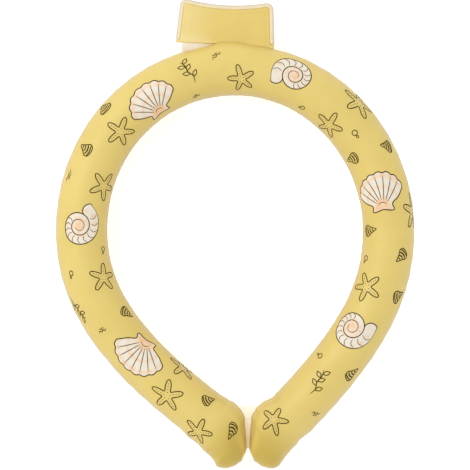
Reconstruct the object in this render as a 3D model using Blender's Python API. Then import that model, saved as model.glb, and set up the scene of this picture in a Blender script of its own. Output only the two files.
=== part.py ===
"""Cooling neck ring: a filled film tube bent round the neck, with a welded tab at the back.

Metres, +Z up. The ring lies flat on the surface z = 0 with its tab towards +Y and its two ends
towards -Y. X is the wearer's left to right. The origin is under the middle of the whole outline.
"""

import math

import bmesh
import bpy
from mathutils import Vector
from mathutils.geometry import interpolate_bezier

# The tube
TUBE_DIAMETER = 0.0243
RING_HALF_WIDTH = 0.0724
RING_BACK_RISE = 0.0756
END_DROP = 0.0873
END_GAP = 0.0015
ENDS_SIDE_SHIFT = 0.0061

# The small swelling where the filling port runs out of the tube into the tab
PORT_SWELL = 0.0016
PORT_SWELL_REACH = 0.0070
PORT_SIDE_SHIFT = -0.0032

# The tab at the back
TAB_FOOT_WIDTH = 0.0465
TAB_TOP_WIDTH = 0.0440
TAB_HEIGHT = 0.0204
TAB_TOP_DIP = 0.0019
TAB_PANEL_CORNER = 0.0013
TAB_THICKNESS = 0.0012
TAB_TILT_DEG = 2.8
TAB_SIDE_SHIFT = -0.0048
TAB_SINKS_IN_TUBE = 0.0003
TAB_FOOT_BAND = 0.0013
TAB_ROOT_DEPTH = 0.0040

# Clear film: the edge round the tab, the strip under it and the web between the tube's ends
CLEAR_FILM_THICKNESS = 0.0008
CLEAR_EDGE_WIDTH = 0.0015
CLEAR_STRIP_INSET = 0.0030
WEB_TOP_WIDTH = 0.0130
WEB_TOP_ABOVE_ENDS = 0.0045
WEB_HEIGHT = 0.0212
WEB_TOP_DIP = 0.0004

# What touches keeps this gap, because the pieces are separate solids
FILM_GAP = 0.0003

# How finely the curves are cut
STATION_STEP = 0.0062
TUBE_SIDES = 20
CORNER_STEPS = 4
TOP_EDGE_STEPS = 8
FINE_STEPS = 96

# The two halves of the ring's middle line are each two Bezier spans that meet at the widest
# level. Handles are shares: across of RING_HALF_WIDTH, rise of RING_BACK_RISE, drop and end of
# END_DROP. The last span arrives at its end at this angle below level.
HALF_COLUMNS = ("side", "across", "rise", "drop", "end", "arrival_deg")
HALF_SHARES = (
    (-1, 0.57, 0.55, 0.28, 0.69, 36.5),
    (1, 0.57, 0.52, 0.30, 0.61, 46.0),
)

# The sections past a leg's last round one, where the film closes like a pillow's corner. Points
# are shares of TUBE_DIAMETER from the last round section's centre: towards the other end, and
# down. The height is a share of TUBE_DIAMETER too.
CLOSING_COLUMNS = ("inner_towards", "inner_down", "outer_towards", "outer_down", "height")
CLOSING_SHARES = (
    (0.45, -0.31, -0.17, 0.50, 1.00),
    (0.60, -0.22, -0.07, 0.62, 0.99),
    (0.69, -0.11, 0.06, 0.77, 0.96),
    (0.76, 0.00, 0.16, 0.89, 0.90),
    (0.78, 0.19, 0.25, 0.98, 0.80),
    (0.79, 0.39, 0.37, 1.02, 0.66),
    (0.80, 0.57, 0.50, 1.01, 0.48),
    (0.79, 0.71, 0.60, 0.97, 0.30),
    (0.73, 0.84, 0.67, 0.91, 0.10),
)

YELLOW_COLOR = (0.79, 0.60, 0.20)
CLEAR_COLOR = (0.90, 0.82, 0.72)


def rows(columns, table):
    """The rows of a table, each as a dictionary by column name."""
    return [dict(zip(columns, row)) for row in table]


def clear_scene():
    for obj in list(bpy.data.objects):
        bpy.data.objects.remove(obj)


def new_collection(name):
    collection = bpy.data.collections.new(name)
    bpy.context.scene.collection.children.link(collection)
    return collection


def new_material(name, color, roughness, alpha=1.0):
    material = bpy.data.materials.new(name)
    material.use_nodes = True
    shader = material.node_tree.nodes["Principled BSDF"]
    shader.inputs["Base Color"].default_value = (*color, 1.0)
    shader.inputs["Roughness"].default_value = roughness
    shader.inputs["Metallic"].default_value = 0.0
    shader.inputs["Alpha"].default_value = alpha
    material.diffuse_color = (*color, alpha)
    return material


def tube_level():
    """Height of the tube's middle, where its two films are welded and the flat pieces lie."""
    return TUBE_DIAMETER / 2


def end_centre(side):
    """Middle of a leg's last round section."""
    reach = max(row["inner_towards"] for row in rows(CLOSING_COLUMNS, CLOSING_SHARES))
    standoff = reach * TUBE_DIAMETER + END_GAP / 2
    return Vector((ENDS_SIDE_SHIFT + side * standoff, -END_DROP))


def middle_line():
    """The tube's middle line in plan, from the left end round the back to the right end."""
    halves = []
    for row in rows(HALF_COLUMNS, HALF_SHARES):
        side = row["side"]
        back = Vector((0, RING_BACK_RISE))
        widest = Vector((side * RING_HALF_WIDTH, 0))
        end = end_centre(side)
        arrival = math.radians(row["arrival_deg"])
        heading = Vector((-side * math.cos(arrival), -math.sin(arrival)))
        spans = (
            (
                back,
                back + Vector((side * row["across"] * RING_HALF_WIDTH, 0)),
                widest + Vector((0, row["rise"] * RING_BACK_RISE)),
                widest,
            ),
            (
                widest,
                widest - Vector((0, row["drop"] * END_DROP)),
                end - heading * row["end"] * END_DROP,
                end,
            ),
        )
        points = [back]
        for span in spans:
            drawn = interpolate_bezier(*[p.to_3d() for p in span], FINE_STEPS)
            points += [p.to_2d() for p in drawn[1:]]
        halves.append(points)
    left, right = halves
    return left[:0:-1] + right


def evenly_spaced(points, step):
    """Points at equal steps along a polyline, each with its unit tangent."""
    lengths = [0.0]
    for a, b in zip(points, points[1:]):
        lengths.append(lengths[-1] + (b - a).length)
    count = max(8, round(lengths[-1] / step))
    stations = []
    i = 0
    for k in range(count + 1):
        wanted = lengths[-1] * k / count
        while i < len(points) - 2 and lengths[i + 1] < wanted:
            i += 1
        run = points[i + 1] - points[i]
        share = (wanted - lengths[i]) / run.length
        before = points[max(0, i - 1)]
        after = points[min(len(points) - 1, i + 2)]
        stations.append((points[i] + run * share, (after - before).normalized()))
    return stations


def port_swell(point):
    """How far the tube's outer side bulges towards the tab at this point of its middle line."""
    if point.y < 0:
        return 0.0
    away = (point.x - PORT_SIDE_SHIFT) / PORT_SWELL_REACH
    return PORT_SWELL * math.exp(-away * away)


def tube_sections(grow=0.0):
    """(inner point, outer point, height) of every section in plan, from the left end to the right."""
    radius = TUBE_DIAMETER / 2
    round_ones = []
    for point, tangent in evenly_spaced(middle_line(), STATION_STEP):
        outward = Vector((-tangent.y, tangent.x))
        inner = point - outward * radius
        outer = point + outward * (radius + port_swell(point))
        round_ones.append((inner, outer, TUBE_DIAMETER))

    def closing(side):
        centre = end_centre(side)
        sections = []
        for row in rows(CLOSING_COLUMNS, CLOSING_SHARES):
            towards = -side * TUBE_DIAMETER
            inner = centre + Vector((towards * row["inner_towards"], -TUBE_DIAMETER * row["inner_down"]))
            outer = centre + Vector((towards * row["outer_towards"], -TUBE_DIAMETER * row["outer_down"]))
            sections.append((inner, outer, TUBE_DIAMETER * row["height"]))
        return sections

    sections = closing(-1)[::-1] + round_ones + closing(1)
    grown = []
    for inner, outer, height in sections:
        across = (outer - inner).normalized() * grow
        grown.append((inner - across, outer + across, height + 2 * grow))
    return grown


def add_tube(name, collection, grow=0.0):
    """Lofts the tube through its sections. grow makes it larger all round, for use as a cutter."""
    # The sections are polygons with a flat side below, so that the ring rests on flat faces.
    reach = 1 / math.cos(math.pi / TUBE_SIDES)
    mesh = bmesh.new()
    rings = []
    for inner, outer, height in tube_sections(grow):
        middle = (inner + outer) / 2
        half = (outer - inner) / 2 * reach
        ring = []
        for k in range(TUBE_SIDES):
            angle = math.tau * (k + 0.5) / TUBE_SIDES
            plan = middle + half * math.cos(angle)
            level = tube_level() + height / 2 * reach * math.sin(angle)
            ring.append(mesh.verts.new((plan.x, plan.y, level)))
        rings.append(ring)
    if grow:
        # The cutter also runs past the tube's own ends.
        for ring, beyond in ((rings[0], rings[1]), (rings[-1], rings[-2])):
            middle = sum((v.co for v in ring), Vector()) / TUBE_SIDES
            back = sum((v.co for v in beyond), Vector()) / TUBE_SIDES
            push = (middle - back).normalized() * grow
            for v in ring:
                v.co += push
    for ring, following in zip(rings, rings[1:]):
        for k in range(TUBE_SIDES):
            j = (k + 1) % TUBE_SIDES
            mesh.faces.new((ring[k], ring[j], following[j], following[k]))
    mesh.faces.new(rings[0])
    mesh.faces.new(reversed(rings[-1]))
    bmesh.ops.recalc_face_normals(mesh, faces=mesh.faces)
    data = bpy.data.meshes.new(name)
    mesh.to_mesh(data)
    mesh.free()
    data.shade_smooth()
    data.set_sharp_from_angle(angle=math.radians(40))
    tube = bpy.data.objects.new(name, data)
    collection.objects.link(tube)
    return tube


def add_plate(name, outline, thickness, collection):
    """A flat plate of this outline, half above and half below z = 0, as a mesh."""
    curve = bpy.data.curves.new(name, "CURVE")
    curve.dimensions = "2D"
    curve.fill_mode = "BOTH"
    curve.extrude = thickness / 2
    spline = curve.splines.new("POLY")
    spline.points.add(len(outline) - 1)
    for point, (x, y) in zip(spline.points, outline):
        point.co = (x, y, 0, 1)
    spline.use_cyclic_u = True
    drawn = bpy.data.objects.new(name + "_outline", curve)
    collection.objects.link(drawn)
    graph = bpy.context.evaluated_depsgraph_get()
    data = bpy.data.meshes.new_from_object(drawn.evaluated_get(graph))
    data.name = name
    bpy.data.objects.remove(drawn)
    welded = bmesh.new()
    welded.from_mesh(data)
    bmesh.ops.remove_doubles(welded, verts=welded.verts, dist=1e-6)
    bmesh.ops.recalc_face_normals(welded, faces=welded.faces)
    welded.to_mesh(data)
    welded.free()
    plate = bpy.data.objects.new(name, data)
    collection.objects.link(plate)
    return plate


def cut_by(plate, cutter):
    cut = plate.modifiers.new("clear_of_tube", "BOOLEAN")
    cut.operation = "DIFFERENCE"
    cut.solver = "EXACT"
    cut.object = cutter


def tab_upper_edge(inset):
    """The tab's left corner, top and right corner as one path, moved in by inset."""
    corner = TAB_PANEL_CORNER + FILM_GAP + CLEAR_EDGE_WIDTH
    radius = corner - inset
    centre = Vector((TAB_TOP_WIDTH / 2 - corner, TAB_HEIGHT - corner))
    lean = math.atan2(TAB_FOOT_WIDTH - TAB_TOP_WIDTH, 2 * TAB_HEIGHT)
    # The top edge is a shallow hollow whose ends run smoothly into the corners.
    rise = math.atan2(2 * TAB_TOP_DIP, centre.x)
    first = math.pi - lean
    sweep = first - (math.pi / 2 - rise)
    left = []
    for k in range(CORNER_STEPS + 1):
        angle = first - sweep * k / CORNER_STEPS
        left.append(Vector((-centre.x, centre.y)) + radius * Vector((math.cos(angle), math.sin(angle))))
    right = [Vector((-point.x, point.y)) for point in reversed(left)]
    top = []
    for k in range(1, TOP_EDGE_STEPS):
        share = 2 * k / TOP_EDGE_STEPS - 1
        dip = TAB_TOP_DIP * (1 - share * share)
        top.append(Vector((share * right[0].x, right[0].y - dip)))
    return left + top + right


def tab_side(inset, level):
    """Half the tab's width at this height over its foot line, moved in by inset."""
    lean = (TAB_FOOT_WIDTH - TAB_TOP_WIDTH) / 2 / TAB_HEIGHT
    return TAB_FOOT_WIDTH / 2 - lean * level - inset


def port_on_foot():
    """Place of the port's swelling along the tab's foot line, where that line lies in the tube."""
    return PORT_SIDE_SHIFT - TAB_SIDE_SHIFT


def panel_outline():
    """The yellow panel. Its foot is free left of the port, and runs down to the tube right of it."""
    inset = CLEAR_EDGE_WIDTH + FILM_GAP
    side = tab_side(inset, TAB_FOOT_BAND)
    foot = tab_side(0, 0)
    band = tab_side(0, TAB_FOOT_BAND)
    port = port_on_foot()
    right_foot = [(side, TAB_FOOT_BAND), (band, TAB_FOOT_BAND), (foot, 0.0), (foot, -TAB_ROOT_DEPTH)]
    left_foot = [(port, -TAB_ROOT_DEPTH), (port, 0.0), (-foot, 0.0), (-band, TAB_FOOT_BAND)]
    return [*tab_upper_edge(inset), *right_foot, *left_foot, (-side, TAB_FOOT_BAND)]


def clear_edge_outline():
    """The clear edge, a narrow band round three sides of the panel."""
    foot = TAB_FOOT_BAND + FILM_GAP
    outer = tab_side(0, foot)
    inner = tab_side(CLEAR_EDGE_WIDTH, foot)
    outer_path = [(-outer, foot), *tab_upper_edge(0.0), (outer, foot)]
    inner_path = [(inner, foot), *reversed(tab_upper_edge(CLEAR_EDGE_WIDTH)), (-inner, foot)]
    return outer_path + inner_path


def clear_strip_outline():
    """The clear strip between the tab's free foot and the tube."""
    left = CLEAR_STRIP_INSET - TAB_FOOT_WIDTH / 2
    right = port_on_foot() - FILM_GAP
    depth = TUBE_DIAMETER / 2
    return [(left, -FILM_GAP), (right, -FILM_GAP), (right, -depth), (left, -depth)]


def web_outline():
    """The clear web between the tube's ends. Its top edge dips a little in the middle."""
    half = WEB_TOP_WIDTH / 2
    top = []
    for k in range(TOP_EDGE_STEPS + 1):
        share = 2 * k / TOP_EDGE_STEPS - 1
        top.append((share * half, -WEB_TOP_DIP * (1 - share * share)))
    return top + [(half, -WEB_HEIGHT), (-half, -WEB_HEIGHT)]


def place_tab_piece(piece):
    """Sets a piece drawn on the tab's foot line at the back of the ring, leaning with the tab."""
    foot = RING_BACK_RISE + TUBE_DIAMETER / 2 - TAB_SINKS_IN_TUBE
    piece.location = (TAB_SIDE_SHIFT, foot, tube_level())
    piece.rotation_euler = (0, 0, -math.radians(TAB_TILT_DEG))


def add_tab(collection, cutter):
    panel = add_plate("back_tab", panel_outline(), TAB_THICKNESS, collection)
    edge = add_plate("tab_clear_edge", clear_edge_outline(), CLEAR_FILM_THICKNESS, collection)
    strip = add_plate("tab_clear_strip", clear_strip_outline(), CLEAR_FILM_THICKNESS, collection)
    for piece in (panel, edge, strip):
        place_tab_piece(piece)
        cut_by(piece, cutter)
    return panel, edge, strip


def add_web(collection, cutter):
    web = add_plate("front_clear_web", web_outline(), CLEAR_FILM_THICKNESS, collection)
    top = -END_DROP + WEB_TOP_ABOVE_ENDS
    web.location = (ENDS_SIDE_SHIFT, top, tube_level())
    cut_by(web, cutter)
    return web


def centre_outline(frame, pieces):
    """Moves the frame so that the origin lies under the middle of the whole outline."""
    bpy.context.view_layer.update()
    graph = bpy.context.evaluated_depsgraph_get()
    corners = []
    for piece in pieces:
        shown = piece.evaluated_get(graph)
        corners += [shown.matrix_world @ Vector(corner) for corner in shown.bound_box]
    for axis in (0, 1):
        values = [corner[axis] for corner in corners]
        frame.location[axis] = -(min(values) + max(values)) / 2


def main():
    clear_scene()
    parts = new_collection("cooling_neck_ring")
    cutters = new_collection("cutters")
    frame = bpy.data.objects.new("ring_frame", None)
    parts.objects.link(frame)

    yellow = new_material("yellow_film", YELLOW_COLOR, 0.40)
    clear = new_material("clear_film", CLEAR_COLOR, 0.25, alpha=0.6)

    tube = add_tube("ring_tube", parts)
    cutter = add_tube("tube_clearance", cutters, grow=FILM_GAP)
    cutter.hide_render = True
    cutter.display_type = "WIRE"

    panel, edge, strip = add_tab(parts, cutter)
    web = add_web(parts, cutter)

    for piece in (tube, panel):
        piece.data.materials.append(yellow)
    for piece in (edge, strip, web):
        piece.data.materials.append(clear)

    pieces = (tube, panel, edge, strip, web)
    for piece in (*pieces, cutter):
        piece.parent = frame
    centre_outline(frame, pieces)


main()
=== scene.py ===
"""Looks of the cooling neck ring: the filled film tube, its print, the tab and the clear films.

The file is laid out as an add-on. Each operator builds one piece, or a group of like pieces,
in the packed model's own frame. Metres, +Z up, the tab towards +Y.
"""

import functools
import math
import random
from collections import namedtuple

import bpy
import numpy as np
from bpy.props import FloatProperty, FloatVectorProperty, IntProperty, PointerProperty
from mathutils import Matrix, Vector
from mathutils.geometry import delaunay_2d_cdt, interpolate_bezier


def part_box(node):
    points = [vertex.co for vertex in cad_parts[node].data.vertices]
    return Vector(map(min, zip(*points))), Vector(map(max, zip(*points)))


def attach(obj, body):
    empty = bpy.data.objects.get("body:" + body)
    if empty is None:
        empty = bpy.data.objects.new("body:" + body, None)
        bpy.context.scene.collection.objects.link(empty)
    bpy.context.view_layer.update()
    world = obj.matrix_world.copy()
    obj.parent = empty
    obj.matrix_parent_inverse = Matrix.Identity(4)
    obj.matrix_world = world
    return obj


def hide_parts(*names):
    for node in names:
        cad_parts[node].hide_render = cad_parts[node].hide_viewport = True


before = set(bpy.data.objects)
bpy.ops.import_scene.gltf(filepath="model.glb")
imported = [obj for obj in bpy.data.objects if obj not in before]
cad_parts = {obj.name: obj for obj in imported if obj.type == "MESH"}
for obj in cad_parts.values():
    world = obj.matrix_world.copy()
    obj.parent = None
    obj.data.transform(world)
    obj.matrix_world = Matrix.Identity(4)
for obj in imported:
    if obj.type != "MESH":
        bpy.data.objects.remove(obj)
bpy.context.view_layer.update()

bl_info = {
    "name": "Cooling neck ring",
    "version": (1, 0, 0),
    "blender": (4, 5, 0),
    "location": "3D View > Sidebar > Neck ring",
    "description": "Builds the film tube, print, tab and clear films of a cooling neck ring",
    "category": "Add Mesh",
}

MM = 0.001
TINY = 1e-12

# Each half of the tube's middle line is two Bezier spans that meet at the widest level. Handles
# are shares: across of the half width, rise of the back rise, drop and end of the end drop. The
# last span arrives at its end at this angle below level.
Half = namedtuple("Half", "side across rise drop end arrival_deg")
HALVES = (Half(-1, 0.57, 0.55, 0.28, 0.69, 36.5), Half(1, 0.57, 0.52, 0.30, 0.61, 46.0))
BEZIER_POINTS = 129
SECTION_STEP = 0.0016

# The sections past a leg's last round one, where the film closes like a pillow's corner. Points
# are shares of the tube's diameter from the last round section's centre: towards the other end,
# and down. The height is a share of the diameter too.
Closing = namedtuple("Closing", "inner_towards inner_down outer_towards outer_down height")
CLOSINGS = (
    Closing(0.45, -0.31, -0.17, 0.50, 1.00),
    Closing(0.60, -0.22, -0.07, 0.62, 0.99),
    Closing(0.69, -0.11, 0.06, 0.77, 0.96),
    Closing(0.76, 0.00, 0.16, 0.89, 0.90),
    Closing(0.78, 0.19, 0.23, 1.00, 0.80),
    Closing(0.79, 0.39, 0.37, 1.035, 0.66),
    Closing(0.80, 0.57, 0.50, 1.01, 0.48),
    Closing(0.79, 0.71, 0.60, 0.97, 0.30),
    Closing(0.73, 0.84, 0.67, 0.91, 0.10),
)

# A tip is two rings, each pushed out by a length and shrunk to a share, and a point past them
TIP_RINGS = ((0.00022, 0.72), (0.00036, 0.35))
TIP_POINT_PUSH = 0.000396

# Angles of the mesh from a weld seam to the crest, closer together at the seam
QUARTER_ANGLES = [0.0, 0.9, 1.8, 2.8, 4.2, 6.4, 9.2, *np.arange(12.0, 90.1, 3.0)]

# The tube's faces lie in strips when its material is baked: how many lie across and up, and
# the margin of each as a share of it
BAKE_COLUMNS, BAKE_ROWS, BAKE_EDGE = 2, 3, 0.008

# Steps of the meshes, in metres where nothing else is said
OUTLINE_STEP = 0.0004
PANEL_STEP = 0.00042
STRIP_STEP = 0.0005
CLEAR_OF_EDGE = 0.4  # shares of a step
WASH_EDGE_STEP, WASH_STEP, LINE_STEP = 0.6, 0.85, 0.5  # millimetres

# Where the sheets' edges are rounded, and the panel's low relief
PANEL_ROUNDING, FILM_ROUNDING = 0.0005, 0.0004
PANEL_WAVE, RIB_HEIGHT, RIB_PITCH, RIBS_START = 0.00008, 0.00001, 0.0007, 0.0006
WELD_BAND_STEP = 0.0012

# Where light passes up through the panel: from its left side, and from its foot line upwards
LEFT_PALE, FREE_FOOT_PALE, FREE_FOOT_LEVEL = (0.022, 0.002), (0.020, 0.012), (0.0055, 0.0015)

# The clear strip lies a little below the panel, and slopes down towards the tube
STRIP_TOP, STRIP_DROP, STRIP_SLOPE = 0.0003, 0.0002, 0.06
# The levels, down towards the tube, over which the strip takes on painted reflected yellow light
STRIP_WARMS = (0, -0.006)

# The web's fine ripple, how much of its width sags, and the levels down which it turns warm with painted
# shade and painted reflected yellow light
RIPPLE_HEIGHT, RIPPLE_REACH, SAG_SHARE, WEB_WARMS = 0.0001, 0.0011, 0.8, (-0.001, -0.019)

# Distances from the tube's tips, each pair from where a change begins to where it is full
PUCKERED = (0.040, 0.022)
SEAM_DARKENS = (0.040, 0.025)
# The next two are for painted shade: where the ends face each other it is lessened, and towards the tips it
# comes in
ENDS_FACE = (0.030, 0.018)
TIP_SHADE = (0.026, 0.004)
RELIEF_RISES = (0.003, 0.009)

# The puckers' pitch, the tab's reach along the tube, and the levels where the relief comes in
PUCKER_PITCH, TAB_REACH, OFF_THE_FLOOR = 0.0052, 0.020, (0.0004, 0.0034)

# The ends' crease, in degrees round the tube from its gap side
CREASE_ANGLE, CREASE_WIDTH = 33, 8

# Motifs keep off these bands round the tube from its crest: near its ends, and elsewhere
STAR_BANDS = ((0.0095, 0.0300), (0.0160, 0.0275))
SMALL_BANDS = ((0.0080, 0.0300), (0.0125, 0.0265))
NEAR_END, TIP_MARGIN = 0.036, 0.012

# They keep off the tab too: this far along from the middle, and in this band round the tube
TAB_KEEP_OFF, TAB_BAND = 0.034, (0.007, 0.030)

# Rows of large motifs, as shares of the girth from the crest, and how far they may stray
LARGE_ROWS, LARGE_REACH, LARGE_MARGIN, STRAY = (0, 0.405, -0.405), 0.0122, 0.030, 0.0035

KEY_LIGHT_PLACE = (-0.78, 0.42, 1.0)


def length(name, description, default):
    return FloatProperty(name=name, description=description, default=default, unit="LENGTH", precision=5)


def share(name, description, default):
    return FloatProperty(name=name, description=description, default=default, min=0, max=1, subtype="FACTOR")


def color(name, description, default):
    return FloatVectorProperty(
        name=name, description=description, default=default, size=3, subtype="COLOR", min=0, max=1
    )


def number(name, description, default):
    return FloatProperty(name=name, description=description, default=default)


class TubeSettings(bpy.types.PropertyGroup):
    """Sizes of the filled tube."""

    diameter: length("Diameter", "Outside diameter of the filled tube", 0.0243)
    half_width: length("Half width", "From the ring's middle to the tube's middle line at its widest", 0.0724)
    back_rise: length("Back rise", "From the widest level to the middle line at the back", 0.0756)
    end_drop: length("End drop", "From the widest level down to each leg's last round section", 0.0873)
    end_gap: length("End gap", "Gap between the two closed ends", 0.0015)
    ends_shift: length("Ends shift", "How far the gap lies to the side of the middle", 0.0061)
    port_swell: length("Port swelling", "How far the filling port bulges the tube towards the tab", 0.0016)
    port_reach: length("Port reach", "How far along the tube the port's swelling spreads", 0.0070)
    port_shift: length("Port shift", "Side shift of the port's swelling", -0.0032)
    left_swell: length("Left swelling", "How far the left leg widens outwards where its end begins", 0.0011)
    seam_height: length("Seam height", "How far the weld seam stands out from the tube", 0.00032)
    seam_half_width: length("Seam half width", "Half the weld seam's thickness", 0.00042)
    pressed_flat: length("Pressed flat", "How far the underside is pressed flat by its weight", 0.0003)
    unevenness: length("Unevenness", "Height of the film's soft waves", 0.00010)
    facet_depth: length("Facet depth", "How far the film dips between its faint corners", 0.00016)
    pucker: length("Pucker", "Height of the small puckers where the ends close", 0.00022)
    crease_depth: length("Crease depth", "Depth of the soft crease along each end's gap side", 0.00040)
    station_step: length("Station step", "Length of the mesh's faces along the tube", 0.00077)


class FilmSettings(bpy.types.PropertyGroup):
    """Finish of the yellow film."""

    film_color: color("Film", "Colour of the yellow film", (0.785, 0.608, 0.178))
    # Painted shade: the film is darkened to this colour at the tube's sides, in the ends' creases and towards
    # the tips; it is also the colour of the film's random soft patches
    patch_and_shade_color: color("Deep film", "Colour where the film is thick or turns away", (0.65, 0.475, 0.11))
    seam_color: color("Seam", "Colour of the weld seam", (0.45, 0.355, 0.19))
    # Painted shade: the film is darkened to this colour towards the closed tips and over the tips' caps
    tip_shade_color: color("Tips", "Colour where the ends close and the film is gathered", (0.56, 0.40, 0.055))
    # Painted light: the tab panel is painted paler with this colour on its left side and free foot, standing
    # in for light from below
    painted_light_color: color("Pale film", "Colour where light passes up through the film", (0.86, 0.71, 0.32))
    roughness: share("Roughness", "Roughness of the satin film", 0.42)
    coat: share("Coat", "Weight of the film's clear skin", 0.08)


class TabSettings(bpy.types.PropertyGroup):
    """Sizes of the tab and of the clear rim round it."""

    foot_width: length("Foot width", "Width of the tab at its foot", 0.0465)
    top_width: length("Top width", "Width of the tab at its top", 0.0440)
    height: length("Height", "Height of the tab over its foot line", 0.0204)
    top_dip: length("Top dip", "How far the top edge is hollowed", 0.0019)
    panel_corner: length("Panel corner", "Radius of the yellow panel's corners", 0.0013)
    thickness: length("Thickness", "Thickness of the panel", 0.0012)
    tilt_deg: number("Tilt", "Lean of the tab, clockwise, in degrees", 2.8)
    side_shift: length("Side shift", "Side shift of the tab", -0.0048)
    sinks_in: length("Sinks in", "How far the tab's foot line lies inside the tube's outline", 0.0003)
    foot_band: length("Foot band", "Height over which the panel reaches its full width", 0.0013)
    root_depth: length("Root depth", "How far the panel runs under the tube's side", 0.0040)
    root_slant: length("Root slant", "Width over which the free foot slants down to the root", 0.0030)
    rim_width: length("Rim width", "Width of the clear rim", 0.0018)
    rim_thickness: length("Rim thickness", "Thickness of the clear rim", 0.0010)
    rim_overlap: length("Rim overlap", "How much wider the rim is, to meet the panel", 0.0002)
    rim_gap: length("Rim gap", "How far the rim's feet stand over the panel's foot band", 0.0001)
    weld_band: length("Weld band", "Width of the pressed band inside the panel's edge", 0.0021)
    weld_depth: length("Weld depth", "How far the band is pressed below the panel's middle", 0.00012)
    weld_rise: length("Weld rise", "How far the panel rises where it meets the tube", 0.0017)
    weld_reach: length("Weld reach", "How far from the tube the panel starts to rise", 0.0026)
    strip_inset: length("Strip inset", "From the tab's left foot to the clear strip", 0.0030)
    strip_past_port: length("Strip past port", "How far the clear strip runs past the port", 0.0020)
    film_thickness: length("Film thickness", "Thickness of the clear film", 0.0008)


class WebSettings(bpy.types.PropertyGroup):
    """Sizes of the clear web between the two ends."""

    top_width: length("Top width", "Width of the web at its top", 0.0130)
    foot_half: length("Foot half width", "Half the web's width at its lowest points", 0.0045)
    top_above_ends: length("Top above ends", "From the last round sections up to the web's top edge", 0.0045)
    height: length("Height", "From the web's top edge down to its lowest point", 0.0212)
    top_dip: length("Top dip", "How far the top edge is hollowed", 0.0004)
    bottom_arch: length("Bottom arch", "How far the bottom edge arches up in the gap", 0.0010)
    sag: length("Sag", "How far the web sinks in its middle", 0.0007)
    film_thickness: length("Film thickness", "Thickness of the clear film", 0.0006)
    opacity: share("Opacity", "How much of what lies behind the web is hidden", 0.42)
    # Painted light: the web glows a little, standing in for light passed on from below
    painted_glow: number("Glow", "Light that the web passes on from below", 0.21)


class ClearSettings(bpy.types.PropertyGroup):
    """Finish of the clear films."""

    clear_color: color("Clear film", "Tint of the clear film", (0.92, 0.85, 0.73))
    rim_color: color("Rim", "Tint of the clear rim round the tab", (1.0, 0.90, 0.72))
    # Painted shade: the rim is darkened to this colour in a line along its outer side and a fainter one along
    # its inner side
    line_color: color("Rim lines", "Tint of the pressed lines along the rim's sides", (0.46, 0.385, 0.26))
    # Painted reflected light and shade: the clear films take on this tint near the yellow film and the web
    # down towards its bottom; it is also the colour of their random soft patches
    patch_reflection_and_shade_color: color("Warm tint", "Tint where the yellow film shines into the clear one", (0.84, 0.66, 0.27))
    # Painted light: tint of the web's glow
    glow_color: color("Glow", "Tint of the light that the web passes on from below", (1.0, 0.86, 0.58))
    opacity: share("Opacity", "How much of what lies behind the clear film is hidden", 0.56)
    rim_opacity: share("Rim opacity", "How much of what lies behind the rim is hidden", 0.72)
    roughness: share("Roughness", "Roughness of the clear film", 0.24)


class PrintSettings(bpy.types.PropertyGroup):
    """Sizes and colours of the seashell print."""

    cream_color: color("Cream", "Body colour of the shells", (0.85, 0.77, 0.64))
    peach_color: color("Peach", "Wash on the shells", (0.88, 0.53, 0.27))
    ink_color: color("Ink", "Colour of the drawn lines", (0.060, 0.036, 0.001))
    large_pitch: length("Large pitch", "Distance along the tube between two large shells", 0.0700)
    first_large: length("First large", "From the left tip to the first large shell", 0.0700)
    line_width: length("Line width", "Width of an outline", 0.00050)
    lift: length("Lift", "How far the ink stands over the film", 0.00006)
    sink: length("Sink", "How far the print's underside lies inside the film", 0.00005)
    seed: IntProperty(name="Seed", description="Start of the layout's random draws", default=11)


class StageSettings(bpy.types.PropertyGroup):
    """Floor, light and camera."""

    floor_color: color("Floor", "Colour of the floor", (0.55, 0.55, 0.55))
    patch_color: color("Floor patches", "Colour of the floor's faint patches", (0.53, 0.53, 0.53))
    floor_glow: number("Floor glow", "Light that the floor gives off", 0.66)
    floor_reach: length("Floor reach", "From the middle of the floor to its sides", 3.0)
    floor_drop: length("Floor drop", "How far the floor lies below the ring", 0.0001)
    sky: number("Sky", "Strength of the even light from all round", 0.86)
    key_power: number("Key light", "Power of the soft light at the upper left", 4.8)
    key_size: length("Key light size", "Side of the soft light", 0.9)
    camera_height: length("Camera height", "From the tube's middle level up to the camera", 1.4)
    camera_shift: length("Camera shift", "How far the camera stands towards the tab", -0.0004)
    view_width: length("View width", "Width of the picture at the tube's middle level", 0.2217)


SETTINGS = {
    "ring_tube": TubeSettings,
    "ring_film": FilmSettings,
    "ring_tab": TabSettings,
    "ring_web": WebSettings,
    "ring_clear": ClearSettings,
    "ring_print": PrintSettings,
    "ring_stage": StageSettings,
}


def ramp(values, start, end):
    """0 up to start and 1 from end on, with a smooth rise between. The end may lie below the start."""
    place = np.clip((values - start) / (end - start), 0, 1)
    return place * place * (3 - 2 * place)


def bell(values, middle=0.0, width=1.0):
    """1 at the middle, falling smoothly to 0 on both sides."""
    return np.exp(-np.square((values - middle) / width))


def side_by_side(*columns):
    return np.stack(columns, axis=1)


def unit_rows(vectors):
    return vectors / np.maximum(np.linalg.norm(vectors, axis=-1), TINY)[..., None]


# The tube's surface


def end_centre(tube, side):
    """Middle of a leg's last round section."""
    standoff = max(row.inner_towards for row in CLOSINGS) * tube.diameter + tube.end_gap / 2
    return Vector((tube.ends_shift + side * standoff, -tube.end_drop))


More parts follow.
